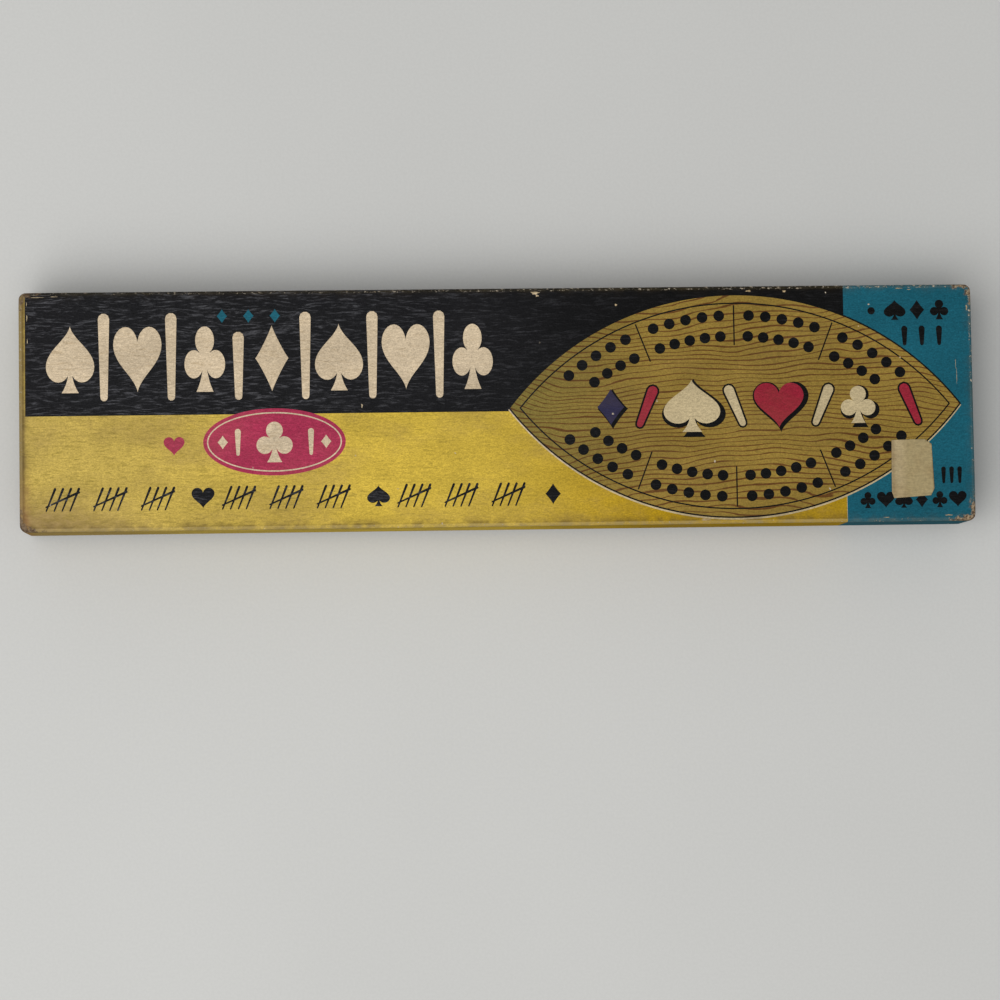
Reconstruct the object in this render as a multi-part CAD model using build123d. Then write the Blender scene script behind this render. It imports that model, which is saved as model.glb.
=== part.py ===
from build123d import *
import os

# A flat chipboard game box with a lift-off lid, and the cribbage board, pegs and leaflet inside it.
# Sizes are in millimetres. X runs along the box, Y from front to back and Z up. The origin is the
# middle of the underside of the base.

# Box, outside
box_length = 304.8
box_depth = 76.2
box_height = 25.4
base_reveal = 3.4  # strip of the base that shows below the lid
corner_radius = 2.0  # upright corners
lid_edge_radius = 1.0  # fold round the top of the lid

# Chipboard and paper
chipboard = 1.0
wrap_paper = 0.15
stay_paper = 0.12  # gummed strips that hold the corners of the chipboard
stay_leg = 9.0  # how far a strip reaches along each wall
hem_depth = 12.0  # wrap turned in over the rim
corner_slit = 0.15  # between a folded end wall and the long walls

# Fits, per side
lid_clearance = 0.5
board_end_clearance = 3.0
board_side_clearance = 1.42

# Paper label on the lid
label_length = 14.0
label_depth = 19.3
label_paper = 0.1
label_right_gap = 12.6
label_front_gap = 7.2
label_snip = 2.6  # cut corners on its right

# Cribbage board
board_thickness = 15.875
board_edge_radius = 1.0
hole_diameter = 3.3
hole_depth = 8.0
hole_pitch = 6.8
holes_per_group = 5
group_count = 6
track_offset = 18.0  # middle of a player's two rows, from the middle of the board
row_spacing = 8.0
track_end_gap = 30.0  # from each end of the board to the track
start_gap = 13.0  # from the start holes to the first group
game_row_offset = 4.0
game_hole_count = 4
game_end_gap = 9.0

# Peg pocket under the board, and its sliding cover
pocket_length = 76.0
pocket_width = 15.0
pocket_depth = 5.5
pocket_corner_radius = 3.0
pocket_start = 66.0  # from the left end of the board
cover_steel = 0.5
cover_overlap = 3.0  # past each end of the pocket
cover_lip = 0.45  # wood below the cover's edges
cover_bite = 1.2  # width of that lip under the cover
cover_side_clearance = 0.2
cover_top_clearance = 0.2
cover_width = 19.0
cover_travel = 78.0
grip_rib_count = 3
grip_rib_width = 0.8
grip_rib_pitch = 2.4
grip_rib_length = 9.0
grip_rib_height = 0.3
pin_shank_diameter = 1.5
pin_shank_length = 5.0
pin_head_diameter = 3.4
pin_head_height = 0.8

# Pegs
peg_length = 31.75
peg_tip_diameter = 2.7
peg_tip_bevel = 0.5
peg_neck_diameter = 3.1
peg_head_diameter = 3.6
peg_head_length = 3.2
peg_gap = 0.2  # above the cover
peg_end_gap = 0.6
peg_side_offset = 3.2

# Leaflet, folded once along its front edge
leaflet_length = 140.0
leaflet_depth = 58.0
leaflet_leaf = 0.35
leaflet_gap = 0.2
leaflet_end_gap = 14.0

# Worked out from the sizes above
wall_skin = wrap_paper + stay_paper
lid_height = box_height - base_reveal
lid_inside = box_height - wrap_paper - chipboard
wall_stack = wall_skin + chipboard + wrap_paper
base_length = box_length - 2 * (wall_stack + lid_clearance)
base_depth = box_depth - 2 * (wall_stack + lid_clearance)
board_length = base_length - 2 * (wall_stack + board_end_clearance)
board_depth = base_depth - 2 * (wall_stack + board_side_clearance)
board_bottom = chipboard
board_top = board_bottom + board_thickness
board_left = -board_length / 2
board_right = board_length / 2
cover_bottom = board_bottom + cover_lip
cover_top = cover_bottom + cover_steel
channel_top = cover_top + cover_top_clearance
pocket_left = board_left + pocket_start
pocket_right = pocket_left + pocket_length
cover_left = pocket_left - cover_overlap
cover_right = pocket_right + cover_overlap


def block(x_span, y_span, z_span):
    """Box between two values on each axis."""
    size = [high - low for low, high in (x_span, y_span, z_span)]
    middle = [(high + low) / 2 for low, high in (x_span, y_span, z_span)]
    return Pos(*middle) * Box(*size)


def upright(length, depth, radius, bottom, top):
    """Block about the Z axis with rounded upright corners."""
    outline = RectangleRounded(length, depth, radius)
    return Pos(0, 0, bottom) * extrude(outline, top - bottom)


def tray(length, depth, height, face_paper, edge_radius):
    """Open chipboard tray, its face on Z = 0 and its rim at the given height.

    Returns the folded chipboard, a dictionary of corner strips by their signs along X and Y, and
    the paper wrap that covers the walls and turns in over the rim.
    """
    rim = height - wrap_paper
    floor = face_paper + chipboard
    outer = upright(length, depth, corner_radius, 0, height)
    card_length = length - 2 * wall_skin
    card_depth = depth - 2 * wall_skin
    card_radius = corner_radius - wall_skin
    card = upright(card_length, card_depth, card_radius, face_paper, rim)
    if edge_radius:
        outer = fillet(outer.faces().sort_by(Axis.Z)[0].edges(), edge_radius)
        card = fillet(card.faces().sort_by(Axis.Z)[0].edges(), edge_radius - face_paper)
    inner_x = card_length / 2 - chipboard
    inner_y = card_depth / 2 - chipboard
    card -= block((-inner_x, inner_x), (-inner_y, inner_y), (floor, height))

    strip_ring = upright(
        card_length + 2 * stay_paper, card_depth + 2 * stay_paper, card_radius + stay_paper, edge_radius, rim
    )
    strip_ring -= upright(card_length, card_depth, card_radius, edge_radius, rim)
    strips = {}
    for side_x in (-1, 1):
        for side_y in (-1, 1):
            corner = Pos(side_x * length / 2, side_y * depth / 2, height / 2)
            strips[side_x, side_y] = strip_ring & (corner * Box(2 * stay_leg, 2 * stay_leg, height))

    paper = outer - card
    for strip in strips.values():
        paper -= strip
    hem_x = inner_x - wrap_paper
    hem_y = inner_y - wrap_paper
    paper -= block((-inner_x, inner_x), (-inner_y, inner_y), (face_paper, height - hem_depth))
    paper -= block((-hem_x, hem_x), (-hem_y, hem_y), (face_paper, height))

    for side_x in (-1, 1):
        for side_y in (-1, 1):
            slit_x = sorted((side_x * inner_x, side_x * length / 2))
            slit_y = sorted((side_y * inner_y, side_y * (inner_y - corner_slit)))
            card -= block(slit_x, slit_y, (floor, height))
    return card, strips, paper


def peg_holes():
    """All the drilled holes of the board: tracks, start holes, finish hole and game holes."""
    track_length = board_length - 2 * track_end_gap
    group_pitch = track_length / group_count
    rows = [
        side * (track_offset + step * row_spacing / 2)
        for side in (-1, 1)
        for step in (-1, 1)
    ]
    places = []
    for group in range(group_count):
        group_middle = -track_length / 2 + (group + 0.5) * group_pitch
        for index in range(holes_per_group):
            x = group_middle + (index - (holes_per_group - 1) / 2) * hole_pitch
            places += [(x, y) for y in rows]
    first_hole = min(x for x, y in places)
    start = first_hole - start_gap
    places += [(start, y) for y in rows]
    places.append((start, 0))
    for index in range(game_hole_count):
        x = board_right - game_end_gap - index * hole_pitch
        places += [(x, y) for y in (-game_row_offset, game_row_offset)]
    drill = Cylinder(hole_diameter / 2, 2 * hole_depth)
    return [Pos(x, y, board_top) * drill for x, y in places]


def cribbage_board():
    """Wooden board with its holes, the peg pocket and the channel that the cover slides in."""
    wood = block(
        (board_left, board_right), (-board_depth / 2, board_depth / 2), (board_bottom, board_top)
    )
    wood = fillet(wood.edges(), board_edge_radius)
    mouth = cover_width / 2 - cover_bite
    groove = cover_width / 2 + cover_side_clearance
    channel_left = cover_left - cover_side_clearance
    channel_right = board_right + board_edge_radius
    wood -= block((channel_left, channel_right), (-mouth, mouth), (0, channel_top))
    wood -= block((channel_left, channel_right), (-groove, groove), (cover_bottom, channel_top))
    pocket_middle = (pocket_left + pocket_right) / 2
    wood -= Pos(pocket_middle, 0, 0) * upright(
        pocket_length, pocket_width, pocket_corner_radius, board_bottom, channel_top + pocket_depth
    )
    wood -= peg_holes()
    wood -= stop_pin_shank()
    return wood


def stop_pin_place():
    """The pin stands just past the cover's right edge when the cover is fully open."""
    return Pos(cover_right + cover_travel + pin_head_diameter / 2, 0, channel_top)


def stop_pin_shank():
    shank = Cylinder(
        pin_shank_diameter / 2, pin_shank_length, align=(Align.CENTER, Align.CENTER, Align.MIN)
    )
    return stop_pin_place() * shank


def stop_pin():
    """Brass pin in the roof of the channel, its head hanging into the channel."""
    head = Cylinder(
        pin_head_diameter / 2, pin_head_height, align=(Align.CENTER, Align.CENTER, Align.MAX)
    )
    return stop_pin_place() * head + stop_pin_shank()


def peg_cover():
    """Flat steel slide with thumb ribs under its right end."""
    plate = block(
        (cover_left, cover_right), (-cover_width / 2, cover_width / 2), (cover_bottom, cover_top)
    )
    for index in range(grip_rib_count):
        rib_middle = cover_right - (index + 1) * grip_rib_pitch
        plate += block(
            (rib_middle - grip_rib_width / 2, rib_middle + grip_rib_width / 2),
            (-grip_rib_length / 2, grip_rib_length / 2),
            (cover_bottom - grip_rib_height, cover_bottom),
        )
    return plate


def peg(heading):
    """Peg along X about its own middle, its head towards the given side."""
    tip = peg_tip_diameter / 2
    neck = peg_neck_diameter / 2
    head = peg_head_diameter / 2
    head_start = peg_length - peg_head_length
    profile = Polyline(
        (0, 0),
        (0, tip - peg_tip_bevel),
        (peg_tip_bevel, tip),
        (head_start - (head - neck), neck),
        (head_start, head),
        (peg_length - head / 2, head),
        (peg_length, head / 2),
        (peg_length, 0),
        close=True,
    )
    turned = revolve(make_face(profile), Axis.X)
    turned = Pos(-peg_length / 2, 0, 0) * turned
    return turned if heading > 0 else Rot(0, 0, 180) * turned


def placed_peg(end, side):
    """Peg lying on the cover, at one end of the pocket and beside its neighbour."""
    if end < 0:
        x = pocket_left + peg_end_gap + peg_length / 2
    else:
        x = pocket_right - peg_end_gap - peg_length / 2
    z = cover_top + peg_gap + peg_head_diameter / 2
    return Pos(x, side * peg_side_offset, z) * peg(end)


def leaflet():
    """Sheet folded in two, its fold at the front, lying on the board."""
    fold = leaflet_leaf + leaflet_gap / 2
    middle_z = board_top + fold
    back = leaflet_depth / 2
    fold_y = -back + fold
    left = board_left + leaflet_end_gap
    across = (left, left + leaflet_length)

    def folded(radius, z_half):
        bend = Pos((across[0] + across[1]) / 2, fold_y, middle_z) * Rot(0, 90, 0) * Cylinder(
            radius, leaflet_length
        )
        return bend + block(across, (fold_y, back), (middle_z - z_half, middle_z + z_half))

    return folded(fold, fold) - folded(leaflet_gap / 2, leaflet_gap / 2)


def price_label():
    """Paper label with two cut corners, stuck flat on the lid."""
    right = box_length / 2 - label_right_gap
    front = -box_depth / 2 + label_front_gap
    left = right - label_length
    back = front + label_depth
    outline = Polyline(
        (left, front),
        (right - label_snip, front),
        (right, front + label_snip),
        (right, back - label_snip),
        (right - label_snip, back),
        (left, back),
        close=True,
    )
    return Pos(0, 0, box_height) * extrude(make_face(outline), label_paper)


def save(shape, node):
    export_step(shape, f"parts/{node}.step")


os.makedirs("parts", exist_ok=True)

base_top = lid_inside
base_card, base_strips, base_paper = tray(base_length, base_depth, base_top, 0, 0)
lid_card, lid_strips, lid_paper = tray(box_length, box_depth, lid_height, wrap_paper, lid_edge_radius)
turned_over = Pos(0, 0, box_height) * Rot(180, 0, 0)

save(base_card, "base_board")
save(base_paper, "base_wrap")
save(turned_over * lid_card, "lid_board")
save(turned_over * lid_paper, "lid_wrap")
for side_x, end_name in ((-1, "left"), (1, "right")):
    for side_y, side_name in ((-1, "front"), (1, "back")):
        save(base_strips[side_x, side_y], f"base_stay_{side_name}_{end_name}")
        save(turned_over * lid_strips[side_x, -side_y], f"lid_stay_{side_name}_{end_name}")

save(price_label(), "price_label")
save(cribbage_board(), "cribbage_board")
save(stop_pin(), "cover_stop_pin")
save(peg_cover(), "peg_cover")
for side, colour in ((-1, "cream"), (1, "red")):
    save(placed_peg(-1, side), f"peg_{colour}_1")
    save(placed_peg(1, side), f"peg_{colour}_2")
save(leaflet(), "instruction_leaflet")
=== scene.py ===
import math

import bpy
import numpy as np
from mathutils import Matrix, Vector
from mathutils.geometry import delaunay_2d_cdt


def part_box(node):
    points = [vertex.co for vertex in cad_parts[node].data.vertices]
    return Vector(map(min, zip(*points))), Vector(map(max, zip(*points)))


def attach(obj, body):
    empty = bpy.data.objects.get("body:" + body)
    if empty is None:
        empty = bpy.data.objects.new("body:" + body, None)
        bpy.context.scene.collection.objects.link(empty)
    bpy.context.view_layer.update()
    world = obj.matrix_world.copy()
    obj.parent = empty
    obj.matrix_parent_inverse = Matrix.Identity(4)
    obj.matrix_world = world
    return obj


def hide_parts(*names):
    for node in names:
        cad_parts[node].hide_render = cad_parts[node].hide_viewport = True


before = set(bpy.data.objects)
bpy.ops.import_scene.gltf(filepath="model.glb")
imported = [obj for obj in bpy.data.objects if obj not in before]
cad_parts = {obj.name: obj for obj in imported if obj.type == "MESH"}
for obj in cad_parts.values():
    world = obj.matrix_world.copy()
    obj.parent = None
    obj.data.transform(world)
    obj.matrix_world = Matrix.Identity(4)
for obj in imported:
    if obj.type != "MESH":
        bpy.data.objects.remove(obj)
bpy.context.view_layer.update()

# A worn paper-wrapped box with a lift-off lid, the cribbage board inside it, its pegs and its leaflet.
# Lengths are in millimetres until a mesh is made, and the frame gives every outside size.

mm = 0.001


def boxMm(node):
    low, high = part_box(node)
    return np.array(low) / mm, np.array(high) / mm


# Arrays and numbers side by side, as the columns of one array.
def beside(*values):
    return np.stack(np.broadcast_arrays(*values), axis=1)


# Mesh object at the origin, from an array of points in millimetres and a list of face arrays.
def buildMesh(name, points, faces, materials, faceMaterials=None, sharpAngle=40.0):
    mesh = bpy.data.meshes.new(name)
    faceLists = [face for block in faces for face in np.asarray(block).tolist()]
    mesh.from_pydata((np.asarray(points) * mm).tolist(), [], faceLists)
    for material in materials:
        mesh.materials.append(material)
    if faceMaterials is not None:
        mesh.polygons.foreach_set("material_index", np.asarray(faceMaterials, dtype=np.int32))
    mesh.shade_smooth()
    mesh.set_sharp_from_angle(angle=math.radians(sharpAngle))
    mesh.validate()
    piece = bpy.data.objects.new(name, mesh)
    bpy.context.scene.collection.objects.link(piece)
    return piece


def addPaper(piece, thickness, offset=-1.0):
    layer = piece.modifiers.new("paper", "SOLIDIFY")
    layer.thickness = thickness * mm
    layer.offset = offset


# Gives a new piece its body and hides the nodes that it stands for; the slot is not used.
def dress(piece, body, slot, *nodes):
    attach(piece, body)
    if nodes:
        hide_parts(*nodes)
    print(piece.name, len(piece.data.polygons), "faces")


# Quads between neighbouring points of a rows x columns grid whose columns close into a ring.
def ringFaces(rows, columns):
    row = np.arange(rows - 1)[:, None]
    column = np.arange(columns)[None, :]
    following = (column + 1) % columns
    corners = [row * columns + column, row * columns + following,
               (row + 1) * columns + following, (row + 1) * columns + column]
    return beside(*[corner.ravel() for corner in corners])


# Anticlockwise rounded rectangle: points on the outline and their outward normals. Straight sides
# are stepped evenly and have a point at every break along X, where two inks meet.
def roundedPath(halfX, halfY, radius, breaksX=(), step=2.0, cornerSteps=8):
    innerX, innerY = halfX - radius, halfY - radius
    sides = [((-innerX, -halfY), (innerX, -halfY), 270), ((halfX, -innerY), (halfX, innerY), 0),
             ((innerX, halfY), (-innerX, halfY), 90), ((-halfX, innerY), (-halfX, -innerY), 180)]
    points, normals = [], []
    for first, last, angle in sides:
        normal = np.array([round(math.cos(math.radians(angle))), round(math.sin(math.radians(angle)))])
        first, last = np.array(first), np.array(last)
        length = np.abs(last - first).max()
        along = np.linspace(0, 1, int(round(length / step)) + 1)
        if normal[0] == 0:
            for x in breaksX:
                share = (x - first[0]) / (last[0] - first[0])
                near = 1 + int(np.argmin(np.abs(along[1:-1] - share)))
                if 0 < round(share, 6) < 1:
                    along[near] = share
        points += [np.outer(1 - along, first) + np.outer(along, last)]
        normals += [np.tile(normal, (len(along), 1))]
        turn = np.radians(angle + np.arange(1, cornerSteps) * 90 / cornerSteps)
        outward = beside(np.cos(turn), np.sin(turn))
        points.append(last - radius * normal + radius * outward)
        normals.append(outward)
    return np.vstack(points), np.vstack(normals)


# A wall carried round the outline: each profile row is an inset from the outline and a height.
def carriedWall(path, normals, profile):
    rings = path[None] - normals[None] * profile[:, 0][:, None, None]
    heights = np.broadcast_to(profile[:, 1][:, None, None], rings.shape[:2] + (1,))
    return np.concatenate([rings, heights], axis=2).reshape(-1, 3)


# Profile of a turned-over rim: a small roll from the outer face, then the hem on the inner face.
# Direction is 1 where the rim is the lower edge of the wall and -1 where it is the upper one.
def rimProfile(edge, direction, values):
    radius, thickness = values["rimRadius"], values["rimThickness"]
    turn = np.radians(np.linspace(0, 90, 5))
    outer = beside(radius * (1 - np.cos(turn)), edge + direction * radius * (1 - np.sin(turn)))
    inner = beside(thickness - radius * (1 - np.sin(turn)), edge + direction * radius * (1 - np.cos(turn)))
    depth = np.linspace(radius, values["hem"], 6)[1:]
    return np.vstack([outer, inner, beside(thickness, edge + direction * depth)])


def smoothStep(low, high, value):
    share = np.clip((value - low) / (high - low), 0, 1)
    return share * share * (3 - 2 * share)


# Surface of revolution: radius against distance along the axis, closed by a fan at each end.
def lathe(name, profile, axis, place, materials, around=36):
    along, radius = np.asarray(profile, float).T
    turn = np.arange(around) * 2 * math.pi / around
    ring = np.stack([np.tile(along[1:-1, None], (1, around)), radius[1:-1, None] * np.cos(turn),
                     radius[1:-1, None] * np.sin(turn)], axis=2).reshape(-1, 3)
    points = np.vstack([ring, [(along[0], 0, 0), (along[-1], 0, 0)]])
    rows = len(along) - 2
    column = np.arange(around)
    following = (column + 1) % around
    first, last, lastRow = rows * around, rows * around + 1, (rows - 1) * around
    start = beside(first, following, column)
    end = beside(last, lastRow + column, lastRow + following)
    points = points[:, (2, 1, 0)] * (1, -1, 1) if axis == "z" else points
    return buildMesh(name, points + np.asarray(place), [ringFaces(rows, around), start, end], materials)


class Graph:
    # Short way of writing shader nodes: each method adds nodes and returns an output socket.
    def __init__(self, name, specular=0.5, **settings):
        self.material = bpy.data.materials.new(name)
        self.material.use_nodes = True
        self.tree = self.material.node_tree
        self.shader = self.tree.nodes["Principled BSDF"]
        self.shader.inputs["Specular IOR Level"].default_value = specular
        for key, value in settings.items():
            self.shader.inputs[key.replace("_", " ")].default_value = value
        objectPlace = self.add("TexCoord", "Object")
        self.place = self.add("Mapping", "Vector", Vector=objectPlace, Scale=(1 / mm,) * 3)
        self.x, self.y, self.z = self.add("SeparateXYZ", None, Vector=self.place)

    # Sockets are fed in order from a tuple, or by name; an output of None returns them all.
    def add(self, kind, output=0, inOrder=(), options=(), **inputs):
        node = self.tree.nodes.new("ShaderNode" + kind)
        for key, value in dict(options).items():
            setattr(node, key, value)
        for socket, value in zip(node.inputs, inOrder):
            self.feed(socket, value)
        for key, value in inputs.items():
            self.feed(node.inputs[key.replace("_", " ")], value)
        return tuple(node.outputs) if output is None else node.outputs[output]

    def feed(self, socket, value):
        if isinstance(value, bpy.types.NodeSocket):
            self.tree.links.new(value, socket)
        else:
            socket.default_value = value

    def calculate(self, operation, first, second=0.0, third=0.0):
        return self.add("Math", 0, (first, second, third), dict(operation=operation))

    def combined(self, operation, values):
        total = values[0]
        for value in values[1:]:
            total = self.calculate(operation, total, value)
        return total

    def plus(self, *values):
        return self.combined("ADD", values)

    def times(self, *values):
        return self.combined("MULTIPLY", values)

    def most(self, *values):
        return self.combined("MAXIMUM", values)

    def least(self, *values):
        return self.combined("MINIMUM", values)

    def minus(self, first, second):
        return self.calculate("SUBTRACT", first, second)

    def apart(self, first, second):
        return self.calculate("ABSOLUTE", self.minus(first, second))

    # How far a place lies in from the nearer of two faces, from their middle and half the way between.
    def inset(self, place, half, middle=0.0):
        return self.minus(half, self.apart(place, middle))

    def distance(self, *values):
        return self.calculate("SQRT", self.plus(*[self.times(value, value) for value in values]))

    # Smooth step from one level to another while the value goes from low to high.
    def ramp(self, value, low, high, toLow=0.0, toHigh=1.0):
        smooth = dict(interpolation_type="SMOOTHSTEP")
        return self.add("MapRange", 0, (value, low, high, toLow, toHigh), smooth)

    def fade(self, value, low, high, peak=1.0):
        return self.ramp(value, low, high, peak, 0.0)

    # Noise stays near one half, so its middle four tenths are spread between the two levels.
    def spread(self, value, toLow=0.0, toHigh=1.0):
        return self.ramp(value, 0.3, 0.7, toLow, toHigh)

    def scaled(self, scale, offset=(0, 0, 0), place=None):
        scale = scale if isinstance(scale, tuple) else (scale,) * 3
        return self.add("Mapping", "Vector", Vector=place or self.place, Scale=scale, Location=offset)

    def noise(self, scale, offset=(0, 0, 0), detail=3.0, roughness=0.5, distortion=0.0, place=None,
              output="Fac"):
        return self.add("TexNoise", output, Vector=self.scaled(scale, offset, place), Scale=1.0,
                        Detail=detail, Roughness=roughness, Distortion=distortion)

    # Pushes the place about by a slow noise, so that a straight pattern wanders.
    def wander(self, scale, reach, offset=(0, 0, 0)):
        wave = self.noise(scale, offset, 2.0, output="Color")
        return self.add("VectorMath", 0, (wave, reach, self.place), dict(operation="MULTIPLY_ADD"))

    # Small specks: cells whose random value passes the share, near each cell's own point.
    def specks(self, pitch, radius, share, offset=(0, 0, 0)):
        gap, cellColour = self.add("TexVoronoi", None, Vector=self.scaled(1 / pitch, offset), Scale=1.0)[:2]
        chance = self.add("SeparateXYZ", 0, Vector=cellColour)
        chosen = self.ramp(chance, 1 - share, 1 - share + 0.02)
        wobble = self.plus(gap, self.spread(self.noise(2.5), -0.04, 0.04))
        return self.times(chosen, self.fade(wobble, radius / pitch * 0.7, radius / pitch))

    def mix(self, share, first, second, mode="MIX"):
        node = self.tree.nodes.new("ShaderNodeMix")
        node.data_type, node.blend_type = "RGBA", mode
        for index, value in ((0, share), (6, first), (7, second)):
            self.feed(node.inputs[index], (*value, 1) if isinstance(value, tuple) else value)
        return node.outputs[2]

    def shade(self, colour, tone):
        grey = self.add("CombineColor", 0, Red=tone, Green=tone, Blue=tone)
        return self.mix(1.0, colour, grey, "MULTIPLY")

    def finish(self, colour, roughness=None, height=None, relief=0.1, strength=0.6):
        self.feed(self.shader.inputs["Base Color"], colour)
        if roughness is not None:
            self.feed(self.shader.inputs["Roughness"], roughness)
        if height is not None:
            bump = self.add("Bump", 0, Height=height, Distance=relief * mm, Strength=strength)
            self.feed(self.shader.inputs["Normal"], bump)
        return self.material


# Linear colour of an 8-bit screen colour.
def screen(red, green, blue):
    shares = [value / 255 for value in (red, green, blue)]
    return tuple(s / 12.92 if s <= 0.04045 else ((s + 0.055) / 1.055) ** 2.4 for s in shares)


camera = dict(place=(-47.2, -91.5, 1025.4), turn=(3.573, -2.631, -0.881), focalPixels=3150.7,
              imagePixels=1000)
studio = dict(floor=screen(202, 202, 199), floorHalf=3.0, worldLevel=0.37,
              keyWatts=17.5, keySize=1.4, keyPlace=(-0.5, -0.38, 1.3))


def addCamera(values):
    data = bpy.data.cameras.new("camera")
    data.sensor_width = 36.0
    data.lens = values["focalPixels"] / values["imagePixels"] * data.sensor_width
    data.clip_start, data.clip_end = 0.01, 20
    holder = bpy.data.objects.new("camera", data)
    holder.location = [value * mm for value in values["place"]]
    holder.rotation_euler = [math.radians(value) for value in values["turn"]]
    bpy.context.scene.collection.objects.link(holder)
    bpy.context.scene.camera = holder


def addStudio(values):
    data = bpy.data.lights.new("keyLamp", "AREA")
    data.energy, data.size = values["keyWatts"], values["keySize"]
    lamp = bpy.data.objects.new("keyLamp", data)
    lamp.location = values["keyPlace"]
    lamp.rotation_euler = (-Vector(values["keyPlace"])).to_track_quat("-Z", "Y").to_euler()
    bpy.context.scene.collection.objects.link(lamp)
    world = bpy.data.worlds.new("studio")
    world.use_nodes = True
    world.node_tree.nodes["Background"].inputs["Strength"].default_value = values["worldLevel"]
    world.node_tree.nodes["Background"].inputs["Color"].default_value = (1, 1, 1, 1)
    bpy.context.scene.world = world

    # Painted floor: one grey, under a slow cloud and a very fine grain.
    graph = Graph("floorPaint", Roughness=0.9)
    cloud, grain = graph.noise(0.006), graph.noise(1.1, detail=2)
    tone = graph.times(*[graph.spread(noise, 0.985, 1.015) for noise in (cloud, grain)])
    material = graph.finish(graph.shade(values["floor"], tone))
    half = values["floorHalf"] / mm
    corners = [(-half, -half, 0), (half, -half, 0), (half, half, 0), (-half, half, 0)]
    buildMesh("floor", corners, [[(0, 1, 2, 3)]], [material])
    bpy.context.scene.view_settings.view_transform = "Standard"


addCamera(camera)
addStudio(studio)
print("camera, lamp and floor")


# Outlines of the print are flat arrays of points in millimetres, painted in the order they are listed.
def turned(points, degrees):
    angle = math.radians(degrees)
    return points @ np.array([[math.cos(angle), math.sin(angle)], [-math.sin(angle), math.cos(angle)]])


def oval(x, y, radiusX, radiusY=None, steps=24):
    turn = np.arange(steps) * 2 * math.pi / steps
    return beside(x + radiusX * np.cos(turn), y + (radiusY or radiusX) * np.sin(turn))


def rectangle(left, front, right, back):
    return np.array([(left, front), (right, front), (right, back), (left, back)], float)


# Round-ended stroke that widens from its low end to its high end.
def stick(x, y, length, widthLow, widthHigh, degrees=90.0, steps=6):
    turn = np.radians(np.linspace(-90, 90, steps))
    half = beside(np.cos(turn), np.sin(turn))
    high = half * widthHigh / 2 + (length / 2 - widthHigh / 2, 0)
    low = -half * widthLow / 2 - (length / 2 - widthLow / 2, 0)
    return turned(np.vstack([high, low]), degrees) + (x, y)


# Heart a unit high: sixteen times the cube of the sine across, a sum of four cosines up.
def heartOutline(steps=56):
    turn = np.arange(steps) * 2 * math.pi / steps
    up = 13 * np.cos(turn) - 5 * np.cos(2 * turn) - 2 * np.cos(3 * turn) - np.cos(4 * turn)
    return beside(-16 * np.sin(turn) ** 3, up + 2.5) / 29


# Foot of a spade or club: half width falls as a power of the rise.
def footOutline(top, foot=-0.5, steps=8):
    rise = np.linspace(0, 1, steps)
    right = beside(0.035 + 0.16 * (1 - rise) ** 2.4, foot + (top - foot) * rise)
    return np.vstack([right, right[::-1] * (-1, 1)])


# Diamond with slightly hollow sides: powers of the sine and cosine just above two.
def diamondOutline(steps=48):
    turn = (np.arange(steps) + 0.5) * 2 * math.pi / steps
    curve = beside(np.cos(turn), np.sin(turn))
    return np.sign(curve) * np.abs(curve) ** 2.2 * (0.38, 0.5)


# Torn patch: an oval whose radius is a sum of three sines.
def torn(x, y, radiusX, radiusY, phase, steps=22):
    turn = np.arange(steps) * 2 * math.pi / steps
    wave = 1 + 0.22 * np.sin(3 * turn + phase) + 0.16 * np.sin(5 * turn + 2 * phase)
    wave += 0.12 * np.sin(8 * turn)
    return beside(x + radiusX * wave * np.cos(turn), y + radiusY * wave * np.sin(turn))


clubLeaves = [oval(x, y, 0.215, steps=32) for x, y in ((0, 0.28), (-0.25, -0.08), (0.25, -0.08))]
suitParts = dict(
    heart=[heartOutline()],
    spade=[heartOutline() * (1.0, -0.86) + (0, 0.09), footOutline(-0.1)],
    club=[*clubLeaves, oval(0, 0.03, 0.14, steps=16), footOutline(0.05)],
    diamond=[diamondOutline()])


def suit(colour, kind, x, y, height, narrow=1.0):
    return [(colour, part * (height * narrow, height) + (x, y)) for part in suitParts[kind]]


title = dict(suits=("spade", "heart", "club", "diamond", "spade", "heart", "club"), left=-145.0, right=0.5,
             middle=16.4, height=21.0, narrow=0.66, pegLow=3.2, pegHigh=31.2, pegFoot=2.3, pegWidth=3.6,
             shortPeg=2, shortPegHigh=25.0, tealMarks=(-88.0, -79.6, -71.2), tealMarkY=30.0,
             tealMarkHeight=4.4, smallHeart=(-103.5, -11.4, 6.0))     # x, y and height of the heart


# Row of tall suits with a peg between each two, three small diamonds above and a small heart below.
def titleFigures(values):
    count = len(values["suits"])
    pitch = (values["right"] - values["left"] + values["pegWidth"]) / count
    found = []
    for index, kind in enumerate(values["suits"]):
        x = values["left"] + (index + 0.5) * pitch - values["pegWidth"] / 2
        found += suit("cream", kind, x, values["middle"], values["height"], values["narrow"])
        if index < count - 1:
            high = values["shortPegHigh"] if index == values["shortPeg"] else values["pegHigh"]
            size = (high - values["pegLow"], values["pegFoot"], values["pegWidth"])
            found.append(("cream", stick(x + pitch / 2, (high + values["pegLow"]) / 2, *size)))
    for x in values["tealMarks"]:
        found += suit("teal", "diamond", x, values["tealMarkY"], values["tealMarkHeight"])
    return found + suit("red", "heart", *values["smallHeart"])


medal = dict(place=(-71.7, -10.3), half=(22.6, 10.7), ring=1.2, line=0.42,
             club=(13.0, 0.95),                   # height and how narrow
             pegX=11.6, peg=(8.6, 1.1, 1.9),      # length, width at the foot and at the head
             diamondX=16.4, diamondHeight=4.4)


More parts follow.
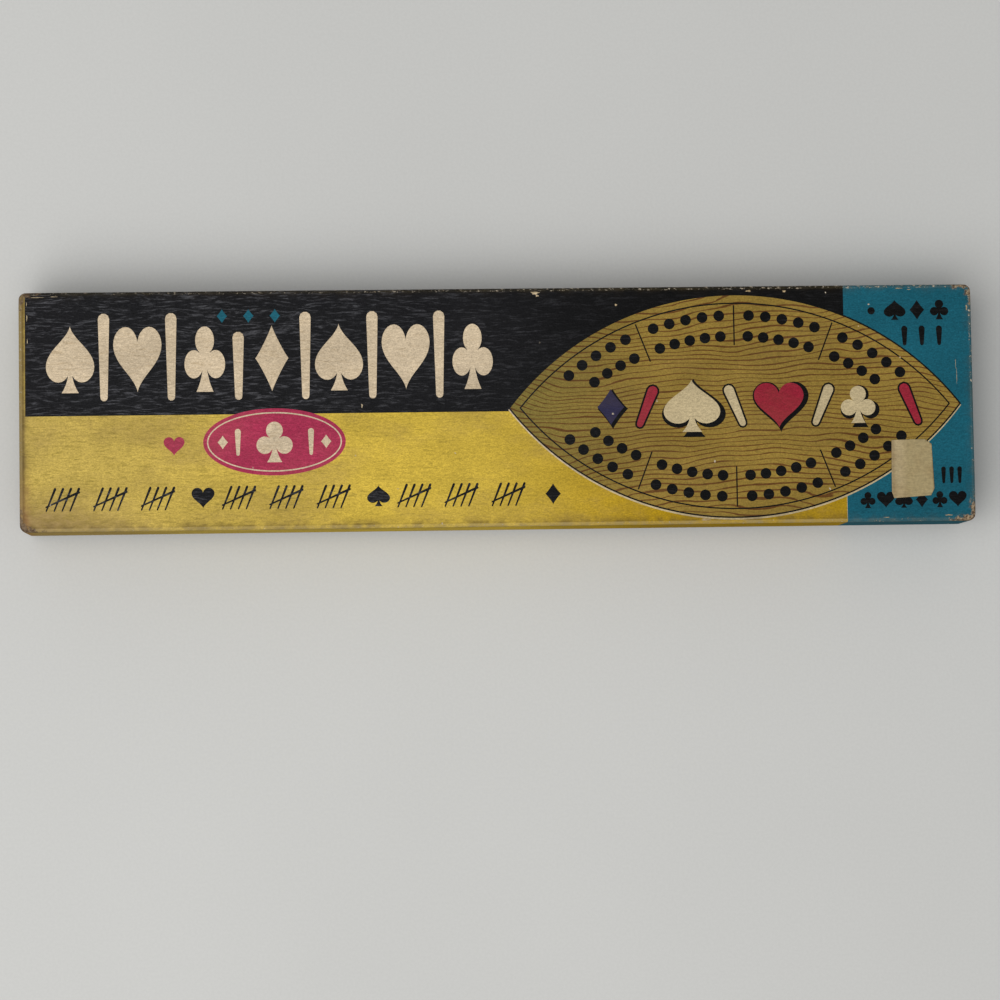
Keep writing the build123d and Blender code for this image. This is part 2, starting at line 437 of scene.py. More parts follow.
# Red oval with a cream line round it, a club in the middle, a peg and a small diamond on each side.
def medalFigures(values):
    x, y = values["place"]
    insets = (0, values["ring"], values["ring"] + values["line"])
    found = [(colour, oval(x, y, *(np.array(values["half"]) - inset), steps=72))
             for colour, inset in zip(("red", "cream", "red"), insets)]
    found += suit("cream", "club", x, y, *values["club"])
    for side in (-1, 1):
        found.append(("cream", stick(x + side * values["pegX"], y, *values["peg"])))
        found += suit("cream", "diamond", x + side * values["diamondX"], y, values["diamondHeight"])
    return found


tally = dict(left=-142.5, right=25.0, y=-27.9, height=8.2, stroke=0.8, footShare=0.6, lean=68.0, pitch=2.5,
             crossLength=12.0, crossLean=24.0, group=15.0, suits=("heart", "spade", "diamond", "club"),
             suitX=3.0, suitHeight=6.6, suitGap=10.6)


# Score strokes in fours with a fifth across them, and a small suit after every third group.
def tallyFigures(values):
    y, widths = values["y"], (values["stroke"] * values["footShare"], values["stroke"])
    x, group, found = values["left"], 0, []
    while x + values["suitGap"] < values["right"]:
        if group % 4 == 3:
            kind = values["suits"][group // 4 % len(values["suits"])]
            found += suit("black", kind, x + values["suitX"], y, values["suitHeight"])
            x += values["suitGap"]
        else:
            starts = x + np.arange(4) * values["pitch"]
            strokes = [(start, values["height"], values["lean"]) for start in starts]
            strokes.append((starts.mean(), values["crossLength"], values["crossLean"]))
            found += [("black", stick(place, y, size, *widths, lean, 4)) for place, size, lean in strokes]
            x += values["group"]
        group += 1
    return found


# Suits of the lens are a kind, a colour, a place from the middle and a height; its pegs are a colour,
# a place and a slope.
lens = dict(centre=(75.6, -0.4), half=(72.8, 36.0), sliver=0.55,
            lines=((0.0, 0.5), (2.8, 0.45)),      # depth and width of the black lines along the outline
            tick=(3.6, 16.6, 0.45),               # depth of both ends, and width
            clear=6.0, rings=(6.9, 13.6), dotRadius=1.75, dotPitch=5.4, dotGap=4.2, ringEnd=6.0,
            suits=(("diamond", "navy", -40.0, 11.5), ("spade", "cream", -14.0, 16.5),
                   ("heart", "red", 14.0, 14.5), ("club", "cream", 39.5, 12.0)), shadow=0.6, shadowSize=1.13,
            pegs=(("red", -28.5, 68.0), ("cream", 0.0, 112.0), ("cream", 28.0, 68.0), ("red", 56.5, 112.0)),
            pegLength=14.0, pegFoot=2.0, pegHead=3.2, pegOutline=1.2)


# Radius of the two arcs of a lens, and how far their centres lie past its middle line.
def lensArc(half):
    radius = (half[0] ** 2 + half[1] ** 2) / (2 * half[1])
    return radius, radius - half[1]


# Two circular arcs that meet in a point at each side; an inset shrinks the radius of both.
def lensOutline(centre, half, inset=0.0, steps=72):
    radius, drop = lensArc(half)
    reach = math.acos(drop / (radius - inset))
    turn = np.linspace(-reach, reach, steps)
    upper = beside(np.sin(turn), np.cos(turn)) * (radius - inset) - (0, drop)
    return np.vstack([upper, upper[::-1][1:-1] * (1, -1)]) + centre


# Place at a turn along the upper or lower arc and a depth in from it, from the middle of the lens.
def arcPlace(values, turn, side, depth):
    radius, drop = lensArc(values["half"])
    reach = radius - depth
    return np.array((reach * math.sin(turn), side * (reach * math.cos(turn) - drop)))


# Turns of the ends of the groups of five dots, and of each dot, spaced by length along the outer ring.
def ringTurns(values):
    radius, drop = lensArc(values["half"])
    outer = radius - values["rings"][0]
    room = 2 * (math.acos(drop / outer) * outer - values["ringEnd"])
    groupLength = 5 * values["dotPitch"] + values["dotGap"]
    groups = int((room + values["dotGap"]) // groupLength)
    starts = [(number - groups / 2) * groupLength for number in range(groups + 1)]
    dots = [(start + values["dotGap"] / 2 + (step + 0.5) * values["dotPitch"]) / outer
            for start in starts[:-1] for step in range(5)]
    return [start / outer for start in starts[1:-1]], dots


# Thin lines across both rings, between the groups of five, pointing at the middle of the arc.
def lensTicks(values, turns):
    near, far, width = values["tick"]
    found = []
    for turn in turns:
        for side in (-1, 1):
            first, last = [arcPlace(values, turn, side, depth) for depth in (near, far)]
            across, up = last - first
            x, y = (first + last) / 2 + values["centre"]
            if last[1] * side > values["clear"]:
                slope = math.degrees(math.atan2(up, across))
                found.append(("black", stick(x, y, far - near, width, width, slope, 4)))
    return found


def lensDots(values, turns):
    places = [arcPlace(values, turn, side, depth)
              for depth in values["rings"] for turn in turns for side in (-1, 1)]
    return [("black", oval(*(values["centre"] + place), values["dotRadius"], steps=20))
            for place in places if abs(place[1]) > values["clear"]]


# Wood-coloured lens with two rings of peg holes in fives that follow its arcs, suits and pegs between.
def lensFigures(values):
    centre, half = np.array(values["centre"]), values["half"]
    found = [("cream", lensOutline(centre - (0, values["sliver"]), half))]
    for depth, width in values["lines"]:
        found.append(("black", lensOutline(centre, half, depth)))
        found.append(("wood", lensOutline(centre, half, depth + width)))
    breaks, dots = ringTurns(values)
    found += lensTicks(values, breaks) + lensDots(values, dots)
    for kind, colour, offset, height in values["suits"]:
        x, y = centre + (offset, 0)
        shadow, size = values["shadow"], height * values["shadowSize"]
        found += suit("black", kind, x + shadow, y - shadow, size) + suit(colour, kind, x, y, height)
    for colour, offset, degrees in values["pegs"]:
        for tone, grown in (("black", values["pegOutline"]), (colour, 0)):
            size = [values[key] + grown for key in ("pegLength", "pegFoot", "pegHead")]
            found.append((tone, stick(*(centre + (offset, 0)), *size, degrees)))
    return found


# Each row of suits (kinds, x, y, pitch, height) is followed by a row of pegs (count, x, y, pitch,
# length, width at the foot and at the head).
endMarks = dict(dot=(120.0, 29.7, 1.2),
                rows=(((("spade", "diamond", "club"), 127.6, 29.9, 7.2, 6.4),
                       (3, 130.6, 21.6, 5.6, 6.4, 1.2, 2.0)),
                      ((("club", "heart", "spade", "diamond", "club", "heart"), 117.6, -31.2, 5.8, 5.2),
                       (3, 142.2, -23.4, 2.6, 5.4, 0.9, 1.5))))


# Peg and suit marks on the teal end; the lower ones run under the label.
def endFigures(values):
    found = [("black", oval(*values["dot"]))]
    for (kinds, suitX, suitY, suitPitch, height), (count, pegX, pegY, pegPitch, *size) in values["rows"]:
        for index, kind in enumerate(kinds):
            found += suit("black", kind, suitX + index * suitPitch, suitY, height)
        found += [("black", stick(pegX + index * pegPitch, pegY, *size)) for index in range(count)]
    return found


# Places where the print has come off down to the paper: x, y, half width, half height and the phase
# of the torn edge.
scuffs = ((11.9, 36.5, 1.2, 0.45, 0.4), (12.6, 35.6, 0.5, 0.25, 2.4), (37.8, 32.4, 0.34, 0.3, 1.1),
          (65.4, -36.8, 1.5, 0.3, 2.0), (64.0, -35.9, 0.5, 0.3, 0.3), (92.0, 36.3, 0.5, 0.3, 0.2),
          (80.5, 36.5, 0.8, 0.25, 4.0), (129.0, 36.9, 1.1, 0.12, 1.7), (132.3, 36.5, 0.6, 0.11, 0.6),
          (143.6, -36.3, 1.2, 0.15, 3.1), (150.9, 30.5, 0.22, 0.9, 0.9), (123.6, -36.8, 0.9, 0.11, 5.0),
          (-149.7, 30.0, 0.10, 1.0, 0.7), (-149.6, 22.5, 0.09, 0.7, 2.9), (129.0, 14.6, 0.22, 0.28, 0.1),
          (115.8, 24.8, 0.2, 0.2, 3.3), (147.2, 8.4, 0.06, 2.4, 1.9), (146.9, 12.4, 0.05, 1.6, 0.9),
          (-43.8, 0.9, 0.2, 0.6, 0.9), (-146.6, 36.5, 1.9, 0.08, 1.3), (-141.2, 36.7, 1.1, 0.07, 2.2),
          (-149.8, 34.4, 0.08, 0.6, 1.5))

figures = (titleFigures(title) + medalFigures(medal) + tallyFigures(tally) + lensFigures(lens)
           + endFigures(endMarks) + [("bare", torn(*patch)) for patch in scuffs])


# Even-odd crossing count of each point against a closed outline.
def insideOutline(points, outline):
    x, y = points[:, 0][:, None], points[:, 1][:, None]
    x1, y1 = outline.T
    x2, y2 = np.roll(x1, -1), np.roll(y1, -1)
    crosses = (y1 > y) != (y2 > y)
    rise = np.where(y2 == y1, 1.0, y2 - y1)
    return (crosses & (x < x1 + (y - y1) * (x2 - x1) / rise)).sum(1) % 2 == 1


# Flat sheet inside an edge, cut along every printed outline. Each triangle takes the last ink whose
# outline holds its centre. Returns points, triangles and inks.
def printedSheet(edge, figureList, inks, gridX, gridY, cuts=()):
    grid = np.stack(np.meshgrid(gridX, gridY), axis=-1).reshape(-1, 2)
    grid = grid[insideOutline(grid, edge)]
    coords, edges, start = [grid], [], len(grid)
    for outline in [edge] + [outline for _, outline in figureList]:
        count = len(outline)
        edges.append(beside(start + np.arange(count), start + (np.arange(count) + 1) % count))
        coords.append(outline)
        start += count
    for cut in cuts:
        edges.append(np.array([[start, start + 1]]))
        coords.append(np.array(cut, float))
        start += 2
    flat = [Vector(point) for point in np.vstack(coords).tolist()]
    points, _, triangles, _, _, _ = delaunay_2d_cdt(flat, np.vstack(edges).tolist(), [], 0, 1e-6)
    points, triangles = np.array([tuple(point) for point in points]), np.array(triangles)
    first, second = [points[triangles[:, corner]] - points[triangles[:, 0]] for corner in (1, 2)]
    area = first[:, 0] * second[:, 1] - first[:, 1] * second[:, 0]
    triangles[area < 0] = triangles[area < 0][:, ::-1]
    centres = points[triangles].mean(1)
    keep = (np.abs(area) > 1e-7) & insideOutline(centres, edge)
    triangles, centres = triangles[keep], centres[keep]
    inkOf = np.full(len(triangles), -1)
    for name, outline in figureList:
        near = np.flatnonzero(((centres >= outline.min(0)) & (centres <= outline.max(0))).all(1))
        if len(near):
            inkOf[near[insideOutline(centres[near], outline)]] = inks.index(name)
    return points, triangles, inkOf


# Merges points that lie on each other and renumbers the face arrays.
def welded(points, *faceArrays):
    _, firstOf, same = np.unique(np.round(points, 4), axis=0, return_index=True, return_inverse=True)
    same = same.reshape(-1)
    return (points[firstOf], *[same[faces] for faces in faceArrays])


lidLow, lidHigh = boxMm("lid_wrap")
lidHalf = (lidHigh - lidLow)[:2] / 2
lidTop = lidHigh[2]


# Tones of an ink: its colour at the left and the right, the left lighter by a painted sheen except on the
# wood, whose change is printed; its streaks, shown by a painted sheen; how much of each mark of age it
# shows, and how deep its grain is.
def inkTones(left, right, streak, streakShare, **others):
    # One share darkens the walls with painted shade and handling dirt; the others are marks of age.
    usual = dict(grime=0.5, handled=0.8, folded=0.8, aged=0.25, depth=0.2)
    usual.update(left=screen(*left), right=screen(*right), streak=screen(*streak), streakShare=streakShare)
    return {**usual, **others}


# Painted sheen: most inks are lighter at the left, where the lamp is reflected, and their streaks show in
# it.
ink = dict(
    black=inkTones((24, 24, 26), (13, 13, 13), (92, 92, 96), 0.6, grime=0.05, handled=0.1, folded=0.1,
                   aged=0.0, depth=0.34),
    yellow=inkTones((194, 168, 84), (168, 134, 16), (134, 116, 44), 0.55, middle=screen(204, 174, 66),
                    grime=0.7, aged=1.0),
    teal=inkTones((30, 92, 108), (24, 88, 104), (18, 66, 80), 0.35, grime=0.15, folded=0.15, aged=0.0),
    cream=inkTones((206, 187, 158), (186, 169, 132), (172, 148, 112), 0.45),
    red=inkTones((162, 48, 78), (146, 34, 52), (206, 84, 112), 0.3),
    navy=inkTones((44, 46, 82), (36, 36, 66), (24, 26, 50), 0.3),
    wood=inkTones((116, 105, 53), (141, 116, 52), (96, 80, 34), 0.3, grain=screen(82, 38, 20)),
    bare=inkTones((206, 188, 156), (190, 166, 128), (150, 122, 84), 0.6))
inkNames = list(ink)

age = dict(leftEdge=screen(82, 66, 42), stains=(screen(134, 112, 66), screen(158, 132, 88)),
           tan=screen(146, 104, 66), grime=screen(92, 74, 44), handled=screen(92, 80, 58),
           crease=screen(96, 78, 34), foldRubAndHighlight=screen(204, 184, 132),
           bare=(screen(172, 154, 128), screen(216, 204, 184)),
           corner=(screen(84, 66, 50), screen(164, 144, 116)))


# Growth lines of the printed wood: a slow drift across Y, folded back into even lines of uneven width.
def growthLines(graph):
    drift = graph.noise((0.017, 0.030, 0.030), (3.1, 1.7, 0), 2.0)
    line = graph.calculate("MULTIPLY_ADD", graph.y, 0.58, graph.times(drift, 14.0))
    wobble = graph.noise((0.09, 0.4, 0.4))
    line = graph.calculate("PINGPONG", graph.calculate("MULTIPLY_ADD", wobble, 0.55, line), 0.5)
    width = graph.spread(graph.noise((0.05, 0.5, 0.5), (9, 2, 0)), 0.03, 0.13)
    return graph.fade(graph.minus(line, width), 0.0, 0.05)


# Ground of an ink: its colour from left to right, lighter at the left by a painted sheen except on the
# wood, and long fibre streaks in a painted sheen that fades to the right, under blotches, mottling and
# grain. Returns the colour, the fibres and the tone.
def inkGround(graph, values):
    # Painted sheen: the colour is lighter at the left; on the wood the change is printed.
    left = values["left"]
    colour = graph.mix(graph.ramp(graph.x, -150.0, -20.0), left, values.get("middle", left))
    colour = graph.mix(graph.ramp(graph.x, -16.0, 60.0), colour, values["right"])
    if "grain" in values:
        colour = graph.mix(graph.times(growthLines(graph), 0.8), colour, values["grain"])
    fibrePlace = graph.wander((0.06, 0.25, 0.25), (7, 4, 4))
    fibre = graph.noise((0.17, 1.65, 1.65), detail=6, roughness=0.65, distortion=0.3, place=fibrePlace)
    # Painted sheen: the fibre streaks show as a painted reflection that fades to the right.
    sheenToRight = graph.ramp(graph.x, -90.0, 60.0, 1.0, 0.12)
    streak = graph.times(graph.ramp(fibre, 0.49, 0.68), sheenToRight, values["streakShare"])
    colour = graph.mix(streak, colour, values["streak"])
    blotch = graph.spread(graph.noise((0.05, 0.09, 0.09), (4, 4, 4), 4), 0.88, 1.10)
    mottle = graph.ramp(graph.noise((0.65, 1.5, 1.5), detail=6, roughness=0.7), 0.28, 0.72, 0.80, 1.18)
    deep = values["depth"]
    grain = graph.ramp(graph.noise((1.9, 2.8, 2.8), detail=4), 0.25, 0.75, 1 - deep, 1 + deep)
    tone = graph.times(blotch, mottle, grain)
    return graph.shade(colour, tone), fibre, tone


# Distances in from the nearer end, the nearer side and the top of the lid, and from them to the
# nearest fold of the top, upper corner and upright edge.
def lidDistances(graph):
    end, side = graph.inset(graph.x, lidHalf[0]), graph.inset(graph.y, lidHalf[1])
    end, side, top = [graph.most(gap, 0.0) for gap in (end, side, graph.minus(lidTop, graph.z))]
    return dict(end=end, side=side, top=top, fold=graph.distance(graph.least(end, side), top),
                corner=graph.distance(end, side, top), upright=graph.distance(end, side))


# Marks of age: a dark left edge, slow stains that gather at the lower left, a tanned left end and grime
# beside the folds; and walls darkened by handling dirt and by painted shade.
def agedPaper(graph, colour, near, cloud, values, tones):
    x, y, top = graph.x, graph.y, near["top"]
    leftEdge = graph.times(graph.fade(near["end"], 1.2, 2.4), graph.fade(x, -100.0, 0.0, 0.7))
    colour = graph.mix(leftEdge, colour, tones["leftEdge"])
    lowerLeft = graph.times(graph.fade(x, -152.0, -96.0), graph.fade(y, -38.0, -20.0), 0.62)
    slow = graph.ramp(graph.noise((0.035, 0.07, 0.07), (9, 3, 1), 5, 0.6), 0.42, 0.66, 0.0, 0.28)
    stain = graph.mix(graph.spread(graph.noise((0.5, 1.0, 1.0), detail=4)), *tones["stains"])
    colour = graph.mix(graph.times(graph.plus(slow, lowerLeft), values["aged"]), colour, stain)
    tanned = graph.times(graph.fade(near["end"], 1.6, 4.6, 0.8), graph.fade(x, -150.0, -120.0),
                         graph.fade(y, -34.0, -12.0), graph.ramp(cloud, 0.0, 1.0, 0.4, 1.0))
    colour = graph.mix(graph.times(tanned, values["aged"]), colour, tones["tan"])
    grime = graph.times(graph.fade(near["fold"], 0.3, 4.0, values["grime"]), cloud)
    colour = graph.mix(grime, colour, tones["grime"])
    # Painted shade with handling dirt: the walls below the top are darkened, a little less towards the
    # bottom.
    handled = graph.times(graph.ramp(top, 0.5, 1.6, 0.0, 0.3), graph.ramp(top, 0.0, 25.0, 1.0, 0.7))
    return graph.mix(graph.times(handled, values["handled"]), colour, tones["handled"])


# Rubbed folds: a dark crease and a pale line along the fold, rubbed paper with a painted highlight,
# with chips that grow to the right and to the back, bare upright edges and flecks. Returns the colour
# and where the paper is bare.
def rubbedFolds(graph, colour, near, cloud, values, tones):
    x, fold = graph.x, near["fold"]
    crease = graph.fade(graph.apart(fold, 1.3), 0.1, 0.4, 0.3)
    foldRubAndHighlight = graph.fade(graph.apart(fold, 0.62), 0.2, 0.6)
    uneven = graph.times(graph.ramp(cloud, 0.0, 1.0, 0.5, 1.0), values["folded"])
    colour = graph.mix(graph.times(crease, uneven), colour, tones["crease"])
    # Painted highlight with rubbed paper: a pale line on the rounded fold, stronger to the right.
    pale = graph.ramp(x, -60.0, 40.0, 0.3, 0.42)
    colour = graph.mix(graph.times(foldRubAndHighlight, uneven, pale), colour, tones["foldRubAndHighlight"])
    ragged = graph.noise((0.9, 1.3, 1.3), (2, 0, 6), 5, 0.72)
    ragged = graph.plus(ragged, graph.ramp(graph.y, -32.0, 32.0, -0.035, 0.015))
    chips = graph.times(foldRubAndHighlight, graph.ramp(ragged, 0.585, 0.62), graph.ramp(x, -40.0, 60.0, 0.45, 1.0))
    frayed = graph.ramp(graph.noise((0.9, 0.9, 0.4), detail=5, roughness=0.7), 0.49, 0.55)
    uprights = graph.times(graph.fade(near["upright"], 0.7, 1.8), frayed)
    flecks = graph.times(graph.specks(4.6, 0.34, 0.16), graph.ramp(x, -60.0, 120.0, 0.5, 1.0))
    bare = graph.most(chips, uprights, flecks)
    return graph.mix(bare, colour, graph.mix(graph.spread(graph.noise(1.4)), *tones["bare"])), bare


# Corners worn through to browned, crumbled board, with wear that runs a little along both folds and
# is greatest at the front and at the right. Returns the colour and where it is worn.
def wornCorners(graph, colour, near, tones):
    end, side, top = near["end"], near["side"], near["top"]
    alongSide = graph.distance(graph.times(end, 0.36), graph.times(side, 1.5), top)
    alongEnd = graph.distance(graph.times(end, 1.3), graph.times(side, 0.36), top)
    reach = graph.least(near["corner"], alongSide, alongEnd)
    reach = graph.plus(reach, graph.spread(graph.noise(0.7, (5, 5, 5), 5, 0.65), -1.0, 1.2))
    reach = graph.minus(reach, graph.ramp(graph.x, 0.0, 100.0, 0.0, 0.3))
    reach = graph.minus(reach, graph.fade(graph.y, -20.0, 20.0, 0.5))
    worn = graph.fade(reach, 1.3, 2.5)
    crumbled = graph.times(graph.ramp(graph.noise(1.1, (8, 2, 5), 5, 0.7), 0.42, 0.60),
                           graph.ramp(graph.x, -100.0, 100.0, 0.4, 1.0))
    return graph.mix(worn, colour, graph.mix(crumbled, *tones["corner"])), worn


# Printed wrap of the lid: the ink on its paper with its painted sheen, then age with painted shade on the
# walls, rubbed folds with a painted highlight, and worn corners.
def printedPaper(name, values, gloss):
    graph = Graph(name, gloss)
    near, cloud = lidDistances(graph), graph.spread(graph.noise(0.3, detail=4))
    colour, fibre, tone = inkGround(graph, values)
    colour = agedPaper(graph, colour, near, cloud, values, age)
    colour, bare = rubbedFolds(graph, colour, near, cloud, values, age)
    colour, worn = wornCorners(graph, colour, near, age)
    rough = graph.plus(graph.spread(fibre, 0.36, 0.50), graph.times(graph.most(bare, worn), 0.3))
    relief = graph.plus(graph.times(fibre, 0.8), graph.times(tone, 0.4))
    return graph.finish(colour, rough, graph.minus(relief, graph.times(bare, 0.7)), 0.16, 0.8)


lidInks = [printedPaper("ink_" + name, ink[name], gloss=0.05) for name in inkNames]
wallNames = ["black", "yellow", "teal"]
lidInks += [printedPaper("wall_" + name, ink[name], gloss=0.0) for name in wallNames]
print("inks of the lid")

wrap = dict(cornerRadius=2.0, paper=0.13, rimRadius=0.3, rimThickness=1.42, hem=12.0)
lid = dict(wrap, edgeRadius=1.0, rollSteps=6, wallRows=10, gridStep=2.8, gridStart=3.0, gridEnd=2.0,
           leftStrip=2.0, tealStart=111.0, yellowTop=-1.4, creamLine=0.15, sag=0.06, cornerCrush=0.12,
           crushReach=2.2)


# Ink of each quad of the wall: the yellow left strip, the teal end, and black behind yellow between.
# The roll at the top has the inks of the print, and the wall below has its own.
def wallInks(path, rows, strip, teal, rollSteps):
    column = np.tile(np.arange(len(path)), rows - 1)
    middle = (path[column] + path[(column + 1) % len(path)]) / 2
    wallInk = np.where(middle[:, 1] > 0, wallNames.index("black"), wallNames.index("yellow"))
    wallInk[middle[:, 0] < strip] = wallNames.index("yellow")
    wallInk[middle[:, 0] > teal] = wallNames.index("teal")
    rolled = np.arange(len(column)) < (rollSteps - 1) * len(path)
    rollInks = np.array([inkNames.index(name) for name in wallNames])
    return np.where(rolled, rollInks[wallInk], wallInk + len(inkNames))


# Top of the lid inside an edge. Its zones meet in straight cuts, so their own outlines aren't cut
# again; the figures are.
def printedTop(edge, strip, teal, values):
    halfX, halfY = lidHalf
    split, cream = values["yellowTop"], teal - values["creamLine"]
    zones = [("yellow", rectangle(-halfX, -halfY, halfX, halfY)),
             ("black", rectangle(strip, split, teal, halfY)),
             ("cream", rectangle(cream, -halfY, teal, split)),
             ("teal", rectangle(teal, -halfY, halfX, halfY))]
    flatY = halfY - values["edgeRadius"]
    cuts = [[(x, -flatY), (x, flatY)] for x in (strip, teal)]
    cuts += [[(strip, split), (teal, split)], [(cream, -flatY), (cream, split)]]
    gridX, gridY = [np.arange(-half + values["gridStart"], half - values["gridEnd"], values["gridStep"])
                    for half in lidHalf]
    points, triangles, inkOf = printedSheet(edge, figures, inkNames, gridX, gridY, cuts)
    centres = points[triangles].mean(1)
    ground = np.zeros(len(triangles), int)
    for name, outline in zones:
        ground[insideOutline(centres, outline)] = inkNames.index(name)
    return points, triangles, np.where(inkOf < 0, ground, inkOf)


# Printed top cut by its outlines, welded to a wall carried round the outline. The top sags by slow
# sines, and a bell-shaped dent presses in each upper corner.
def buildLid(values):
    halfX, halfY = lidHalf
    strip, teal, radius = -halfX + values["leftStrip"], values["tealStart"], values["edgeRadius"]
    path, normals = roundedPath(halfX, halfY, values["cornerRadius"], (strip, teal))
    roll = np.radians(np.linspace(0, 90, values["rollSteps"]))
    rolled = beside(radius * (1 - np.sin(roll)), lidTop - radius * (1 - np.cos(roll)))
    heights = np.linspace(lidTop - radius, lidLow[2] + values["rimRadius"], values["wallRows"])[1:-1]
    profile = np.vstack([rolled, beside(0, heights), rimProfile(lidLow[2], 1, values)])
    wall = carriedWall(path, normals, profile)
    quads = ringFaces(len(profile), len(path))[:, ::-1]
    wallInk = wallInks(path, len(profile), strip, teal, values["rollSteps"])
    top, triangles, topInk = printedTop(path - normals * radius, strip, teal, values)
    points = np.vstack([wall, beside(*top.T, lidTop)])
    points, quads, triangles = welded(points, quads, triangles + len(wall))

    x, y, z = points.T
    slow = 0.5 + 0.2 * np.sin(x / 41 + 0.6) + 0.2 * np.sin(x / 19 + y / 23) + 0.1 * np.sin(y / 9 + x / 60)
    sag = values["sag"] * slow * smoothStep(lidTop - radius, lidTop, z)
    corner = np.sqrt((halfX - np.abs(x)) ** 2 + (halfY - np.abs(y)) ** 2 + (lidTop - z) ** 2)
    dent = values["cornerCrush"] * np.exp(-(corner / values["crushReach"]) ** 2)
    points = points - beside(np.sign(x) * dent, np.sign(y) * dent, dent + sag)
    inkOf = np.concatenate([wallInk, topInk])
    piece = buildMesh("lid_print", points, [quads, triangles], lidInks, inkOf, sharpAngle=50.0)
    addPaper(piece, values["paper"])
    return piece


dress(buildLid(lid), "lid", "lid_paper", "lid_wrap")

baseLow, baseHigh = boxMm("base_wrap")
base = dict(wrap, wallRows=12, dark=screen(46, 42, 40), faded=screen(74, 66, 58),
            rubbed=screen(158, 136, 106))


# Dark plain wrap of the base: soft cloudy fading, rubbed rim and corners, fine grain.
def basePaper(values):
    graph = Graph("base_paper", 0.3)
    cloud = graph.ramp(graph.noise((0.05, 0.07, 0.10), detail=5, roughness=0.6), 0.35, 0.7)
    colour = graph.mix(graph.times(cloud, 0.6), values["dark"], values["faded"])
    grain = graph.ramp(graph.noise((1.6, 2.6, 2.6), detail=4), 0.25, 0.75, 0.82, 1.18)
    colour = graph.shade(colour, grain)
    toEnd, toSide = graph.inset(graph.x, baseHigh[0]), graph.inset(graph.y, baseHigh[1])
    rim = graph.distance(graph.most(graph.least(toEnd, toSide), 0.0), graph.minus(baseHigh[2], graph.z))
    upright = graph.distance(graph.most(toEnd, 0.0), graph.most(toSide, 0.0))
    near = graph.least(rim, upright, graph.z)
    chips = graph.ramp(graph.noise((0.7, 1.4, 1.4), (1, 4, 2), 5, 0.7), 0.55, 0.62)
    worn = graph.most(graph.times(graph.fade(near, 0.3, 1.1), chips), graph.specks(6.0, 0.3, 0.12))
    colour = graph.mix(worn, colour, values["rubbed"])
    rough = graph.plus(0.55, graph.times(worn, 0.25))
    return graph.finish(colour, rough, graph.minus(grain, worn), 0.08, 0.5)


def buildBaseWrap(values):
    path, normals = roundedPath(baseHigh[0], baseHigh[1], values["cornerRadius"])
    heights = np.linspace(baseLow[2], baseHigh[2] - values["rimRadius"], values["wallRows"])[:-1]
    profile = np.vstack([beside(0, heights), rimProfile(baseHigh[2], -1, values)])
    points, quads = carriedWall(path, normals, profile), ringFaces(len(profile), len(path))
    piece = buildMesh("base_paper", points, [quads], [basePaper(values)], sharpAngle=50.0)
    addPaper(piece, values["paper"])
    return piece


dress(buildBaseWrap(base), "base", "base_paper", "base_wrap")

labelLow, labelHigh = boxMm("price_label")
label = dict(outline=((0.7, 0.2), (12.7, 1.0), (13.8, 3.2), (13.2, 17.5), (11.0, 19.1), (0.3, 18.9),
                      (0.1, 10.0), (0.0, 2.2)), edgeSteps=8, edgeGap=0.5, shift=0.5, paper=0.1, step=0.7,
             clear=0.02, leftLift=0.32, leftReach=1.8, uneven=0.4, unevenLength=5.0, cornerLift=0.22,
             cornerReach=4.0, wave=0.04, waveX=2.1, waveY=3.3,
             light=screen(176, 158, 120), pale=screen(163, 146, 106), dark=screen(126, 106, 74),
             stain=screen(138, 112, 72))


# Old blank label: yellowed fibres, paler towards the left, a painted shade on its lifted left edge, stains
# and a faint crease darkened by painted shade.
def labelPaper(values):
    graph = Graph("label_paper", 0.25)
    left, right, front = labelLow[0], labelHigh[0], labelLow[1]
    colour = graph.mix(graph.ramp(graph.x, left + 2.0, left + 5.5), values["light"], values["pale"])
    # Painted shade: the lifted left edge is darkened.
    colour = graph.mix(graph.fade(graph.x, left, left + 1.4, 0.5), colour, values["dark"])
    fibre = graph.noise((0.5, 3.0, 3.0), detail=5, roughness=0.6, place=graph.wander(0.3, (1, 1, 1)))
    colour = graph.shade(colour, graph.spread(fibre, 0.86, 1.1))
    stain = graph.times(graph.ramp(graph.noise(0.16, (2, 2, 2), 5), 0.45, 0.75), 0.35)
    colour = graph.mix(stain, colour, values["stain"])
    # Painted shade along a faint crease, which the bump also dents.
    slant = graph.calculate("MULTIPLY_ADD", graph.y, 0.25, graph.x)
    crease = graph.fade(graph.apart(slant, right - 6.0 + 0.25 * front), 0.0, 0.5)
    colour = graph.mix(graph.times(crease, 0.08), colour, values["dark"])
    colour = graph.shade(colour, graph.spread(graph.noise(0.9, (3, 3, 3), 6, 0.7), 0.86, 1.12))
    height = graph.minus(graph.times(fibre, 0.5), graph.times(crease, 0.15))
    return graph.finish(colour, graph.spread(fibre, 0.7, 0.85), height, 0.08, 0.6)


